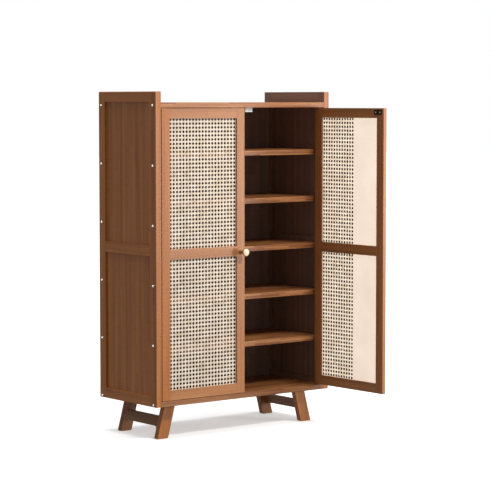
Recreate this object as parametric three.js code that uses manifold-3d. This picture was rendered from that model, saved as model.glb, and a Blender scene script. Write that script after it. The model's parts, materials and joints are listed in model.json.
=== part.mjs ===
// Two-door bamboo shoe cabinet on splayed leg frames.
// Millimetres, +Z up, +X to the right seen from the front, +Y towards the back.
// The origin is on the floor, in the plane of the cabinet's front face, half way across its width.
// The left door is closed and the right door stands open, each on two pivot pins.

import * as THREE from 'three';
import { mergeVertices } from 'three/addons/utils/BufferGeometryUtils.js';
import Module from 'manifold-3d';

const wasm = await Module();
wasm.setup();

// ---------------------------------------------------------------- driving dimensions

const overallWidth = 800;
const carcassDepth = 360;
const sideHeight = 1127;
const legHeight = 125;

const fitGap = 0.3; // left between any two pieces that touch

const sideThickness = 22.5;
const sideMemberWidth = 38;
const sideMidRailCentre = 560; // above the underside of the carcass
const sidePanelThickness = 8;
const sideGrooveDepth = 6;
const sideTopRounding = 5;

const boardThickness = 19;
const trayDepth = 39; // the sides rise this far above the top board

const shelfCount = 5;
const shelfThickness = 19;
const shelfSetback = 30;
const shelfHousing = 5; // each shelf end sits this deep in the stiles
const bottomBayHeight = 166; // the other bays share the rest of the height equally

const backPanelThickness = 6;
const backPanelInset = 28;

const doorThickness = 15;
const doorMemberWidth = 36;
const doorMidRailCentre = 545; // above the underside of the carcass
const doorHingeGap = 3;
const doorMeetingGap = 3;
const doorTopGap = 2;
const doorBottomGap = 2;
const doorCornerRounding = 1.5;
const canePanelThickness = 3.5;
const canePanelSetback = 5.5;
const caneGrooveDepth = 5;

const pivotFromEdge = 14.5;
const pivotFromFront = 7;
const pivotPinRadius = 3.5;
const pivotPinInDoor = 14;
const pivotPinInBoard = 10;
const pivotClearance = 0.3; // on the radius, where a pin turns in a board

const rightDoorOpenDegrees = 91.8;

const linerThickness = 0.8;
const linerShare = 0.43; // of the panel's width, from the free side

const knobLength = 35;
const knobHeadRadius = 14.5;
const knobStemRadius = 6.5;
const knobFootRadius = 8;
const knobFootHeight = 2;
const knobNeckHeight = 6;
const knobStemShare = 0.5; // of the way out to the face, where the stem ends
const knobFlareShare = 0.72; // and where the lower part of the flare ends
const knobFlareRadiusShare = 0.62; // of the head's radius
const knobShoulderShare = 0.88;
const knobShoulderRadiusShare = 0.9;
const knobFaceThickness = 4;
const knobFaceRim = 1.2;
const domeShoulderRadiusShare = 0.85; // of the pale face's radius
const domeShoulderRise = 0.5; // of the dome's rise
const domeCrownRadiusShare = 0.5;
const domeCrownRise = 0.88;
const knobHeight = 541; // above the underside of the carcass
const knobScrewRadius = 2;
const knobScrewHeadRadius = 4;
const knobScrewHeadThickness = 2.2;
const knobScrewInKnob = 14;
const screwClearance = 0.3;

const latchFromCentre = 31; // middle of each catch and strike from the centre plane
const catchWidth = 34;
const catchDepth = 16;
const catchHeight = 16;
const strikeLength = 40;
const strikeHeight = 18;
const strikeThickness = 1.6;
const strikeFromTop = 6;

const legWidth = 47;
const legThickness = 22;
const legInsetSide = 74; // outer edge of a leg's top from the side's outer face
const legInsetEnd = 53; // front leg from the front, rear leg from the back
const legSplay = 33;
const footRounding = 5;
const stretcherThickness = 20;
const stretcherDrop = 46; // below the underside of the carcass
const stretcherHeight = 34;
const haunchRadius = 12;
const legStudRadius = 4;
const legStudInBoard = 12;
const legStudInLeg = 28;

const curveSegments = 5;
const rodSegments = 16;
const knobSegments = 24;
const weldDistance = 1e-4;
const toolOverrun = 1; // a cutting tool starts this far outside the face it cuts

// ---------------------------------------------------------------- worked-out places

const underside = legHeight;
const sideTop = underside + sideHeight;
const halfWidth = overallWidth / 2;
const innerHalfWidth = halfWidth - sideThickness;

const bottomBoardTop = underside + boardThickness;
const topBoardTop = sideTop - trayDepth;
const topBoardBottom = topBoardTop - boardThickness;
const backPanelFront = carcassDepth - backPanelInset - backPanelThickness;

const doorBottom = bottomBoardTop + doorBottomGap;
const doorTop = topBoardBottom - doorTopGap;
const doorWidth = innerHalfWidth - doorHingeGap - doorMeetingGap / 2;
const pivotX = innerHalfWidth - doorHingeGap - pivotFromEdge;

const leftDoorAngle = 0;
const rightDoorAngle = THREE.MathUtils.degToRad(rightDoorOpenDegrees);

// ---------------------------------------------------------------- materials

const makeMaterial = (color, roughness, metalness = 0) =>
  new THREE.MeshStandardMaterial({ color, roughness, metalness });

const bamboo = makeMaterial(0xc0854f, 0.5);
const cane = makeMaterial(0xdec8a6, 0.75);
const liner = makeMaterial(0xece2cf, 0.6);
const turnedWood = makeMaterial(0x9a6234, 0.45);
const ivory = makeMaterial(0xf4ecdc, 0.3);
const whitePlastic = makeMaterial(0xf0eee8, 0.45);
const steel = makeMaterial(0xb8bbbf, 0.3, 1);

// ---------------------------------------------------------------- geometry helpers

const outlineShape = (points) => new THREE.Shape(points.map(([x, y]) => new THREE.Vector2(x, y)));

const extrude = (shape, length) =>
  new THREE.ExtrudeGeometry(shape, { depth: length, bevelEnabled: false, curveSegments });

// A box given by its lowest and highest corners.
function block([x0, y0, z0], [x1, y1, z1]) {
  const geometry = new THREE.BoxGeometry(x1 - x0, y1 - y0, z1 - z0);
  return geometry.translate((x0 + x1) / 2, (y0 + y1) / 2, (z0 + z1) / 2);
}

// A closed outline in X and Y, extruded along Z.
const alongZ = (shape, z0, z1) => extrude(shape, z1 - z0).translate(0, 0, z0);

// A closed outline in Y and Z, extruded along X.
function alongX(shape, x0, x1) {
  const toYZ = new THREE.Matrix4().makeBasis(
    new THREE.Vector3(0, 1, 0),
    new THREE.Vector3(0, 0, 1),
    new THREE.Vector3(1, 0, 0),
  );
  return extrude(shape, x1 - x0).applyMatrix4(toYZ).translate(x0, 0, 0);
}

// A closed outline in X and Z, extruded along Y.
function alongY(shape, y0, y1) {
  const toXZ = new THREE.Matrix4().makeBasis(
    new THREE.Vector3(1, 0, 0),
    new THREE.Vector3(0, 0, 1),
    new THREE.Vector3(0, -1, 0),
  );
  return extrude(shape, y1 - y0).applyMatrix4(toXZ).translate(0, y1, 0);
}

// A round rod along Z, centred on the origin.
function rod(radius, length) {
  const geometry = new THREE.CylinderGeometry(radius, radius, length, rodSegments);
  return geometry.rotateX(Math.PI / 2);
}

function toSolid(geometry) {
  const bare = geometry.index ? geometry.toNonIndexed() : geometry.clone();
  bare.deleteAttribute('normal');
  bare.deleteAttribute('uv');
  const merged = mergeVertices(bare, weldDistance);
  const mesh = new wasm.Mesh({
    numProp: 3,
    vertProperties: new Float32Array(merged.attributes.position.array),
    triVerts: new Uint32Array(merged.index.array),
  });
  return new wasm.Manifold(mesh);
}

function toGeometry(solid) {
  const mesh = solid.getMesh();
  const geometry = new THREE.BufferGeometry();
  geometry.setAttribute('position', new THREE.BufferAttribute(mesh.vertProperties, 3));
  geometry.setIndex(new THREE.BufferAttribute(mesh.triVerts, 1));
  geometry.computeVertexNormals();
  return geometry;
}

function cut(geometry, ...tools) {
  let solid = toSolid(geometry);
  for (const tool of tools) {
    solid = solid.subtract(toSolid(tool));
  }
  return toGeometry(solid);
}

const keepInside = (geometry, envelope) =>
  toGeometry(toSolid(geometry).intersect(toSolid(envelope)));

const join = (geometry, other) => toGeometry(toSolid(geometry).add(toSolid(other)));

function addPiece(parent, name, geometry, material) {
  const mesh = new THREE.Mesh(geometry, material);
  mesh.name = name;
  parent.add(mesh);
  return mesh;
}

const cabinet = new THREE.Group();

// ---------------------------------------------------------------- shelf levels

// The top of each shelf, counted from the highest one down.
const lowestShelfTop = bottomBoardTop + bottomBayHeight + shelfThickness;
const shelfPitch = (topBoardBottom + shelfThickness - lowestShelfTop) / shelfCount;
const shelfTops = Array.from(
  { length: shelfCount },
  (_, level) => lowestShelfTop + (shelfCount - 1 - level) * shelfPitch,
);

// ---------------------------------------------------------------- side frames

// Each side is a frame-and-panel assembly: two full-height stiles, three rails between them,
// and two thin panels held in grooves. It is drawn for the right side and mirrored for the left.

// The cross-section of a member: a rectangle with a groove down each listed edge.
// "across" runs from one grooved edge to the other and "deep" through the thickness.
function groovedSection(width, thickness, grooveDepth, grooveStart, grooveWidth, lowGroove, highGroove) {
  const grooveEnd = grooveStart + grooveWidth;
  const points = [[0, 0], [width, 0]];
  if (highGroove) {
    points.push([width, grooveStart], [width - grooveDepth, grooveStart]);
    points.push([width - grooveDepth, grooveEnd], [width, grooveEnd]);
  }
  points.push([width, thickness], [0, thickness]);
  if (lowGroove) {
    points.push([0, grooveEnd], [grooveDepth, grooveEnd]);
    points.push([grooveDepth, grooveStart], [0, grooveStart]);
  }
  return points;
}

const sideGrooveWidth = sidePanelThickness + 2 * fitGap;
const sideGrooveStart = (sideThickness - sideGrooveWidth) / 2;
const sideGroovedDepth = sideGrooveDepth + fitGap;

const sideSection = (lowGroove, highGroove) =>
  groovedSection(
    sideMemberWidth,
    sideThickness,
    sideGroovedDepth,
    sideGrooveStart,
    sideGrooveWidth,
    lowGroove,
    highGroove,
  );

// The side's outline seen from the front, with its upper outer corner rounded.
function sideEnvelope(direction) {
  const outer = direction * halfWidth;
  const inner = direction * innerHalfWidth;
  const shape = new THREE.Shape();
  shape.moveTo(inner, underside);
  shape.lineTo(outer, underside);
  shape.lineTo(outer, sideTop - sideTopRounding);
  shape.quadraticCurveTo(outer, sideTop, outer - direction * sideTopRounding, sideTop);
  shape.lineTo(inner, sideTop);
  return alongY(shape, 0, carcassDepth);
}

// Housings for the shelf ends, cut across the inner face of every stile and mid rail.
function shelfHousings(direction) {
  const mouth = direction * (innerHalfWidth - toolOverrun);
  const bottom = direction * (innerHalfWidth + shelfHousing + fitGap);
  return shelfTops.map((top) =>
    block(
      [Math.min(mouth, bottom), shelfSetback - fitGap, top - shelfThickness - fitGap],
      [Math.max(mouth, bottom), backPanelFront, top + fitGap],
    ),
  );
}

function buildSide(prefix, direction) {
  const outer = direction * halfWidth;
  const toX = (depthIn) => outer - direction * depthIn;
  const envelope = sideEnvelope(direction);
  const housings = shelfHousings(direction);

  // A stile's section lies in X and Y: "across" is Y and "deep" is X, from the outer face in.
  const stile = (name, y0, lowGroove, highGroove) => {
    const section = sideSection(lowGroove, highGroove).map(([across, deep]) => [toX(deep), y0 + across]);
    const body = keepInside(alongZ(outlineShape(section), underside, sideTop), envelope);
    addPiece(cabinet, `${prefix}_side_${name}`, cut(body, ...housings), bamboo);
  };
  stile('front_stile', 0, false, true);
  stile('rear_stile', carcassDepth - sideMemberWidth, true, false);

  // A rail's section lies in Z and X. It runs from stile to stile, and a stub tenon at each end
  // fills the stile's groove.
  const tongueXs = [
    toX((sideThickness - sidePanelThickness) / 2),
    toX((sideThickness + sidePanelThickness) / 2),
  ];
  const tongueLowX = Math.min(...tongueXs);
  const tongueHighX = Math.max(...tongueXs);
  const railStart = sideMemberWidth + fitGap;
  const railEnd = carcassDepth - sideMemberWidth - fitGap;
  const tongueStart = sideMemberWidth - sideGrooveDepth;
  const tongueEnd = carcassDepth - sideMemberWidth + sideGrooveDepth;
  const rail = (name, z0, lowGroove, highGroove) => {
    const section = sideSection(lowGroove, highGroove).map(([across, deep]) => [toX(deep), z0 + across]);
    const body = alongY(outlineShape(section), railStart, railEnd);
    const tenonLow = z0 + (lowGroove ? sideGroovedDepth : 0);
    const tenonHigh = z0 + sideMemberWidth - (highGroove ? sideGroovedDepth : 0);
    const tenons = block([tongueLowX, tongueStart, tenonLow], [tongueHighX, tongueEnd, tenonHigh]);
    const trimmed = keepInside(join(body, tenons), envelope);
    addPiece(cabinet, `${prefix}_side_${name}`, cut(trimmed, ...housings), bamboo);
  };
  const midRailBottom = underside + sideMidRailCentre - sideMemberWidth / 2;
  const topRailBottom = sideTop - sideMemberWidth;
  rail('bottom_rail', underside, false, true);
  rail('mid_rail', midRailBottom, true, true);
  rail('top_rail', topRailBottom, true, false);

  // The panels reach into the grooves on all four sides.
  const panel = (name, z0, z1) => {
    const low = [tongueLowX, tongueStart, z0 - sideGrooveDepth];
    const high = [tongueHighX, tongueEnd, z1 + sideGrooveDepth];
    addPiece(cabinet, `${prefix}_side_${name}`, block(low, high), bamboo);
  };
  panel('lower_panel', underside + sideMemberWidth, midRailBottom);
  panel('upper_panel', midRailBottom + sideMemberWidth, topRailBottom);
}

buildSide('left', -1);
buildSide('right', 1);

// ---------------------------------------------------------------- boards, shelves, back

const boardHalfWidth = innerHalfWidth - fitGap;

// Bores for the pivot pins, one near each end of a board.
const pivotBores = (z) =>
  [-1, 1].map((direction) =>
    rod(pivotPinRadius + pivotClearance, 2 * (pivotPinInBoard + fitGap))
      .translate(direction * pivotX, pivotFromFront, z),
  );

const legCentreX = halfWidth - legInsetSide - legWidth / 2;
const frontLegY = legInsetEnd + legThickness / 2;
const rearLegY = carcassDepth - legInsetEnd - legThickness / 2;
const legPlaces = [
  ['left_front', -1, frontLegY],
  ['left_rear', -1, rearLegY],
  ['right_front', 1, frontLegY],
  ['right_rear', 1, rearLegY],
];
const legStudHole = (direction, y) =>
  rod(legStudRadius + fitGap, legStudInBoard + legStudInLeg + 2 * fitGap)
    .translate(direction * legCentreX, y, underside + (legStudInBoard - legStudInLeg) / 2);

addPiece(
  cabinet,
  'top_board',
  cut(
    block([-boardHalfWidth, 0, topBoardBottom], [boardHalfWidth, carcassDepth, topBoardTop]),
    ...pivotBores(topBoardBottom),
  ),
  bamboo,
);
addPiece(
  cabinet,
  'bottom_board',
  cut(
    block([-boardHalfWidth, 0, underside], [boardHalfWidth, carcassDepth, bottomBoardTop]),
    ...pivotBores(bottomBoardTop),
    ...legPlaces.map(([, direction, y]) => legStudHole(direction, y)),
  ),
  bamboo,
);

const shelfHalfWidth = innerHalfWidth + shelfHousing;
shelfTops.forEach((top, level) => {
  const shelf = block(
    [-shelfHalfWidth, shelfSetback, top - shelfThickness],
    [shelfHalfWidth, backPanelFront - fitGap, top],
  );
  addPiece(cabinet, `shelf_${level + 1}`, shelf, bamboo);
});

addPiece(
  cabinet,
  'back_panel',
  block(
    [-boardHalfWidth, backPanelFront, bottomBoardTop + fitGap],
    [boardHalfWidth, backPanelFront + backPanelThickness, topBoardBottom - fitGap],
  ),
  bamboo,
);

// A magnetic catch for each door hangs under the top board, near where the doors meet.
const catchFront = doorThickness + strikeThickness + fitGap;
for (const [name, centre] of [['left_catch', -latchFromCentre], ['right_catch', latchFromCentre]]) {
  const body = block(
    [centre - catchWidth / 2, catchFront, topBoardBottom - fitGap - catchHeight],
    [centre + catchWidth / 2, catchFront + catchDepth, topBoardBottom - fitGap],
  );
  addPiece(cabinet, name, body, whitePlastic);
}

// ---------------------------------------------------------------- doors

// A door is drawn closed, in a group whose origin is on its pivot axis. "inward" is +1 where
// the door runs from its pivot towards +X, and -1 where it runs towards -X.
function buildDoor(prefix, side, angle) {
  const door = new THREE.Group();
  door.position.set(side * pivotX, pivotFromFront, 0);
  door.rotation.z = side * angle;
  cabinet.add(door);

  const inward = -side;
  const frontY = -pivotFromFront;
  const backY = frontY + doorThickness;
  const toX = (fromHingeEdge) => inward * (fromHingeEdge - pivotFromEdge);
  const span = (a, b, y0, y1, z0, z1) =>
    block([Math.min(toX(a), toX(b)), y0, z0], [Math.max(toX(a), toX(b)), y1, z1]);

  const grooveWidth = canePanelThickness + 2 * fitGap;
  const grooveStart = canePanelSetback - fitGap;
  const grooved = caneGrooveDepth + fitGap;

  // Stiles: "across" runs from the outer edge to the grooved one. The outer corners are rounded.
  const stileSection = (fromEdge) => {
    const shape = new THREE.Shape();
    const at = (across, deep) => [toX(fromEdge(across)), frontY + deep];
    const r = doorCornerRounding;
    shape.moveTo(...at(r, 0));
    shape.lineTo(...at(doorMemberWidth, 0));
    shape.lineTo(...at(doorMemberWidth, grooveStart));
    shape.lineTo(...at(doorMemberWidth - grooved, grooveStart));
    shape.lineTo(...at(doorMemberWidth - grooved, grooveStart + grooveWidth));
    shape.lineTo(...at(doorMemberWidth, grooveStart + grooveWidth));
    shape.lineTo(...at(doorMemberWidth, doorThickness));
    shape.lineTo(...at(r, doorThickness));
    shape.quadraticCurveTo(...at(0, doorThickness), ...at(0, doorThickness - r));
    shape.lineTo(...at(0, r));
    shape.quadraticCurveTo(...at(0, 0), ...at(r, 0));
    return shape;
  };
  const pinHole = (z) => rod(pivotPinRadius + fitGap, 2 * (pivotPinInDoor + fitGap)).translate(0, 0, z);
  const hingeStile = cut(
    alongZ(stileSection((across) => across), doorBottom, doorTop),
    pinHole(doorBottom),
    pinHole(doorTop),
  );
  addPiece(door, `${prefix}_hinge_stile`, hingeStile, bamboo);

  const knobX = toX(doorWidth - doorMemberWidth / 2);
  const knobZ = underside + knobHeight;
  const freeStile = alongZ(stileSection((across) => doorWidth - across), doorBottom, doorTop);
  const hasKnob = side < 0;
  const knobHole = rod(knobScrewRadius + screwClearance, 2 * doorThickness)
    .rotateX(Math.PI / 2)
    .translate(knobX, 0, knobZ);
  addPiece(door, `${prefix}_free_stile`, hasKnob ? cut(freeStile, knobHole) : freeStile, bamboo);

  // Rails run between the stiles, with a stub tenon at each end in the stile's groove. Their
  // section lies in Y and Z.
  const caneFront = frontY + canePanelSetback;
  const caneBack = caneFront + canePanelThickness;
  const tongueStart = doorMemberWidth - caneGrooveDepth;
  const tongueEnd = doorWidth - doorMemberWidth + caneGrooveDepth;
  const railEnds = [toX(doorMemberWidth + fitGap), toX(doorWidth - doorMemberWidth - fitGap)];
  const rail = (name, z0, lowGroove, highGroove) => {
    const section = groovedSection(
      doorMemberWidth,
      doorThickness,
      grooved,
      grooveStart,
      grooveWidth,
      lowGroove,
      highGroove,
    ).map(([across, deep]) => [frontY + deep, z0 + across]);
    const body = alongX(outlineShape(section), Math.min(...railEnds), Math.max(...railEnds));
    const tenonLow = z0 + (lowGroove ? grooved : 0);
    const tenonHigh = z0 + doorMemberWidth - (highGroove ? grooved : 0);
    const tenons = span(tongueStart, tongueEnd, caneFront, caneBack, tenonLow, tenonHigh);
    addPiece(door, `${prefix}_${name}`, join(body, tenons), bamboo);
  };
  const midRailBottom = underside + doorMidRailCentre - doorMemberWidth / 2;
  const topRailBottom = doorTop - doorMemberWidth;
  rail('bottom_rail', doorBottom, false, true);
  rail('mid_rail', midRailBottom, true, true);
  rail('top_rail', topRailBottom, true, false);

  // Woven cane panels, held in the grooves all round.
  const openings = [
    ['lower', doorBottom + doorMemberWidth, midRailBottom],
    ['upper', midRailBottom + doorMemberWidth, topRailBottom],
  ];
  for (const [name, z0, z1] of openings) {
    const panel = span(
      tongueStart,
      tongueEnd,
      caneFront,
      caneBack,
      z0 - caneGrooveDepth,
      z1 + caneGrooveDepth,
    );
    addPiece(door, `${prefix}_${name}_cane`, panel, cane);
  }

  // Pivot pins, fixed in the door and turning in the boards.
  const pinLength = pivotPinInDoor + pivotPinInBoard;
  const pinCentre = (pivotPinInDoor - pivotPinInBoard) / 2;
  const pin = () => rod(pivotPinRadius, pinLength);
  addPiece(door, `${prefix}_bottom_pin`, pin().translate(0, 0, bottomBoardTop + pinCentre), steel);
  addPiece(door, `${prefix}_top_pin`, pin().translate(0, 0, topBoardBottom - pinCentre), steel);

  // The strike plate lies on the back of the free stile and meets the catch.
  const strikeCentre = doorWidth + doorMeetingGap / 2 - latchFromCentre;
  const strike = span(
    strikeCentre - strikeLength / 2,
    strikeCentre + strikeLength / 2,
    backY + fitGap / 2,
    backY + strikeThickness,
    doorTop - strikeFromTop - strikeHeight,
    doorTop - strikeFromTop,
  );
  addPiece(door, `${prefix}_strike`, strike, steel);

  return { door, span, frontY, caneBack, openings, knobX, knobZ };
}

const leftDoor = buildDoor('left_door', -1, leftDoorAngle);
const rightDoor = buildDoor('right_door', 1, rightDoorAngle);

// A translucent liner sheet backs the free side of each cane panel of the right door.
function addLiners({ door, span, caneBack, openings }) {
  const openingStart = doorMemberWidth + fitGap;
  const openingEnd = doorWidth - doorMemberWidth - fitGap;
  const linerStart = openingEnd - linerShare * (openingEnd - openingStart);
  for (const [name, z0, z1] of openings) {
    const sheet = span(
      linerStart,
      openingEnd,
      caneBack + fitGap,
      caneBack + fitGap + linerThickness,
      z0 + fitGap,
      z1 - fitGap,
    );
    addPiece(door, `right_door_${name}_liner`, sheet, liner);
  }
}

addLiners(rightDoor);

// ---------------------------------------------------------------- knob

// A turned knob with a pale face let into its head, held by a screw through the free stile.
function addKnob({ door, frontY, knobX, knobZ }) {
  const faceSeat = knobLength - knobFaceThickness;
  const boreRadius = knobScrewRadius + screwClearance;
  const boreDepth = knobScrewInKnob + screwClearance;
  const recessRadius = knobHeadRadius - knobFaceRim;

  // Each profile point is a radius and a distance out from the door's front face.
  const bodyProfile = [
    [boreRadius, 0],
    [knobFootRadius, 0],
    [knobFootRadius, knobFootHeight],
    [knobStemRadius, knobNeckHeight],
    [knobStemRadius, knobStemShare * faceSeat],
    [knobFlareRadiusShare * knobHeadRadius, knobFlareShare * faceSeat],
    [knobShoulderRadiusShare * knobHeadRadius, knobShoulderShare * faceSeat],
    [knobHeadRadius, faceSeat],
    [knobHeadRadius, faceSeat + knobFaceRim],
    [recessRadius, faceSeat + knobFaceRim],
    [recessRadius, faceSeat],
    [0, faceSeat],
    [0, boreDepth],
    [boreRadius, boreDepth],
    [boreRadius, 0],
  ];
  const domeFoot = faceSeat + knobFaceRim;
  const domeRise = knobLength - domeFoot;
  const faceRadius = recessRadius - fitGap;
  const faceProfile = [
    [0, faceSeat + fitGap],
    [faceRadius, faceSeat + fitGap],
    [faceRadius, domeFoot],
    [domeShoulderRadiusShare * faceRadius, domeFoot + domeShoulderRise * domeRise],
    [domeCrownRadiusShare * faceRadius, domeFoot + domeCrownRise * domeRise],
    [0, knobLength],
  ];
  const screwTip = knobScrewInKnob;
  const screwSeat = -(doorThickness + 2 * fitGap);
  const screwProfile = [
    [0, screwTip],
    [0, screwSeat - knobScrewHeadThickness],
    [knobScrewHeadRadius, screwSeat - knobScrewHeadThickness],
    [knobScrewHeadRadius, screwSeat],
    [knobScrewRadius, screwSeat],
    [knobScrewRadius, screwTip],
    [0, screwTip],
  ];
  const turned = (profile) => {
    const points = profile.map(([radius, out]) => new THREE.Vector2(radius, out));
    const geometry = new THREE.LatheGeometry(points, knobSegments);
    return geometry.rotateX(Math.PI).translate(knobX, frontY - fitGap, knobZ);
  };
  addPiece(door, 'left_door_knob', turned(bodyProfile), turnedWood);
  addPiece(door, 'left_door_knob_face', turned(faceProfile), ivory);
  addPiece(door, 'left_door_knob_screw', turned(screwProfile), steel);
}

addKnob(leftDoor);

// ---------------------------------------------------------------- leg frames

// Each side stands on two legs joined by a stretcher, and the whole frame leans outwards.
const legLean = legSplay / legHeight;
const legTop = underside - fitGap;

// A leg's outer edge at height z, measured from the centre plane.
const legOuterEdge = (z) => halfWidth - legInsetSide + legLean * (underside - z);

function legShape(direction) {
  const shape = new THREE.Shape();
  const footOuter = legOuterEdge(0);
  const footInner = footOuter - legWidth;
  const r = footRounding;
  const lean = legLean * r;
  shape.moveTo(direction * (legOuterEdge(legTop) - legWidth), legTop);
  shape.lineTo(direction * legOuterEdge(legTop), legTop);
  shape.lineTo(direction * (footOuter - lean), r);
  shape.quadraticCurveTo(direction * footOuter, 0, direction * (footOuter - r), 0);
  shape.lineTo(direction * (footInner + r), 0);
  shape.quadraticCurveTo(direction * footInner, 0, direction * (footInner - lean), r);
  return shape;
}

for (const [name, direction, y] of legPlaces) {
  const leg = alongY(legShape(direction), y - legThickness / 2, y + legThickness / 2);
  addPiece(cabinet, `${name}_leg`, cut(leg, legStudHole(direction, y)), bamboo);
  const stud = rod(legStudRadius, legStudInBoard + legStudInLeg)
    .translate(direction * legCentreX, y, underside + (legStudInBoard - legStudInLeg) / 2);
  addPiece(cabinet, `${name}_leg_stud`, stud, steel);
}

// The stretcher is drawn flat in Y and Z, with a haunch curving down to each leg, and each
// height is then shifted sideways to follow the lean.
function addStretcher(prefix, direction) {
  const y0 = frontLegY + legThickness / 2 + fitGap;
  const y1 = rearLegY - legThickness / 2 - fitGap;
  const top = underside - stretcherDrop;
  const bottom = top - stretcherHeight;
  const shape = new THREE.Shape();
  shape.moveTo(y0, top);
  shape.lineTo(y0, bottom - haunchRadius);
  shape.quadraticCurveTo(y0, bottom, y0 + haunchRadius, bottom);
  shape.lineTo(y1 - haunchRadius, bottom);
  shape.quadraticCurveTo(y1, bottom, y1, bottom - haunchRadius);
  shape.lineTo(y1, top);
  const lean = new THREE.Matrix4().makeShear(0, 0, 0, 0, -direction * legLean, 0);
  const outerAtFloor = direction * legOuterEdge(0);
  const innerAtFloor = outerAtFloor - direction * stretcherThickness;
  const flat = alongX(shape, Math.min(outerAtFloor, innerAtFloor), Math.max(outerAtFloor, innerAtFloor));
  addPiece(cabinet, `${prefix}_leg_stretcher`, flat.applyMatrix4(lean), bamboo);
}

addStretcher('left', -1);
addStretcher('right', 1);

export default cabinet;
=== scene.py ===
import json
import math

import bpy
from mathutils import Matrix, Vector


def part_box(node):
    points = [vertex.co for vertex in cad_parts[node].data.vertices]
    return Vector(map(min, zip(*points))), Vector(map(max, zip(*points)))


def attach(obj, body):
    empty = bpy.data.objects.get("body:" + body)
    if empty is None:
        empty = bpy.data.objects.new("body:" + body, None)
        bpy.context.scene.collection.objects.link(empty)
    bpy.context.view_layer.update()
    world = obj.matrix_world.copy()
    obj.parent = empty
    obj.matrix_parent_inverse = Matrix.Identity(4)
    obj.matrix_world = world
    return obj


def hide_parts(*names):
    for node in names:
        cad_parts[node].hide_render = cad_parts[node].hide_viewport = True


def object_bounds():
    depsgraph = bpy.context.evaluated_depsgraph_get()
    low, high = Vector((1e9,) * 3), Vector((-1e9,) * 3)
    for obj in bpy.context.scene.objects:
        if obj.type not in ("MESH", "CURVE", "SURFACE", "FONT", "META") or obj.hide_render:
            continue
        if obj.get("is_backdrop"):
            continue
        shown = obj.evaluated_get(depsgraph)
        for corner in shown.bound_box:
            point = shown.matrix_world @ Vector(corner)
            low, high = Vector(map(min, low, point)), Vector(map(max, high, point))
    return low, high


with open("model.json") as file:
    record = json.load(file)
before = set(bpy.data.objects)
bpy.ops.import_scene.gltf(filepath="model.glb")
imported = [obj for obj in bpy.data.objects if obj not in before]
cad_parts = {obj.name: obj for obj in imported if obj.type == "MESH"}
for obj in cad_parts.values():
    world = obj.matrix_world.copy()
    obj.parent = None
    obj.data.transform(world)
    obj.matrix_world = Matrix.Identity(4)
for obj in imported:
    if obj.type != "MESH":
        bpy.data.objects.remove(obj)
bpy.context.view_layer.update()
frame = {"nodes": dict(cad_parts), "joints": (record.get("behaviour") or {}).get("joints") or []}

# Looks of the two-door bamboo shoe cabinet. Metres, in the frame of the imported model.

joints = {joint["name"]: joint for joint in frame["joints"]}

# ---------------------------------------------------------------- driving values

MM = 0.001

EDGE_ROUNDING = 0.9 * MM
DOOR_EDGE_ROUNDING = 0.6 * MM
PANEL_EDGE_ROUNDING = 0.3 * MM
WELD_DISTANCE = 0.01 * MM

CANE_COLUMNS = 21
PAIR_OFFSET = 1.15 * MM  # a strand's middle from the middle of its pair
STRAND_WIDTH = 2.1 * MM
DIAGONAL_WIDTH = 1.4 * MM
STRAND_THICKNESS = 0.4 * MM
WEAVE_RISE = 0.22 * MM
DIAGONAL_RISE = 0.46 * MM
SHORTEST_STEP_SHARE = 0.05  # a strand's cut end shorter than this share of a step is left off
# The dark sheet within the right door's cane is painted shade for its holes.
HOLE_SHADE_THICKNESS = 0.12 * MM
HOLE_SHADE_THREAD_SPACING = 0.8 * MM
LINER_SHARE = 0.43  # of the cane's width, from the free side

BOLT_RADIUS = 3.9 * MM
BOLT_PROUD = 1.0 * MM
BOLT_SEAT = 1.2 * MM
BOLT_SOCKET_RADIUS = 1.5 * MM
BOLT_SOCKET_DEPTH = 1.4 * MM
BOLT_FROM_FRONT = 21.0 * MM
BOLT_FROM_BACK = 13.5 * MM
BOLT_FROM_TOP = 48.7 * MM
BOLT_FROM_BOTTOM = 7.2 * MM
BOLTS_IN_COLUMN = 6

HEAD_SIDES = 24
SOCKET_LIP = 0.1 * MM
SCREW_RADIUS = 3.2 * MM
SCREW_PROUD = 0.2 * MM
SCREW_SEAT = 0.3 * MM
SCREW_SOCKET_RADIUS = 1.3 * MM
SCREW_SOCKET_DEPTH = 0.4 * MM
SCREW_SPACING = 22.0 * MM

KNOB_FOOT_RADIUS = 8.0 * MM
KNOB_FOOT_ROUNDING = 0.6 * MM
KNOB_FOOT_HEIGHT = 1.8 * MM
KNOB_WAIST = (7.2 * MM, 3.6 * MM)  # radius, and height above the door
KNOB_STEM_RADIUS = 6.5 * MM
KNOB_STEM_START = 6.0 * MM
KNOB_FLARE_LATENESS = 1.6
KNOB_RIM_HEIGHT = 1.2 * MM  # above the seat of the pale face
KNOB_RIM_ROUNDING = 1.0 * MM
KNOB_FACE_GAP = 0.2 * MM
FACE_SEAT_GAP = 0.1 * MM
FACE_EDGE_HEIGHT = 1.0 * MM
KNOB_PROFILE_STEPS = 12
KNOB_SEGMENTS = 48

CAMERA_PLACE = (-4.5157, -5.7890, 1.2192)
CAMERA_TURN = -37.983
CAMERA_DIP = 4.145
CAMERA_LENS = 146.74


# ---------------------------------------------------------------- node helpers

def linear(red, green, blue):
    """A colour given as 0 to 255 display values, as the linear values that shaders take."""
    def one(value):
        share = value / 255
        return share / 12.92 if share <= 0.04045 else ((share + 0.055) / 1.055) ** 2.4
    return (one(red), one(green), one(blue), 1.0)


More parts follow.
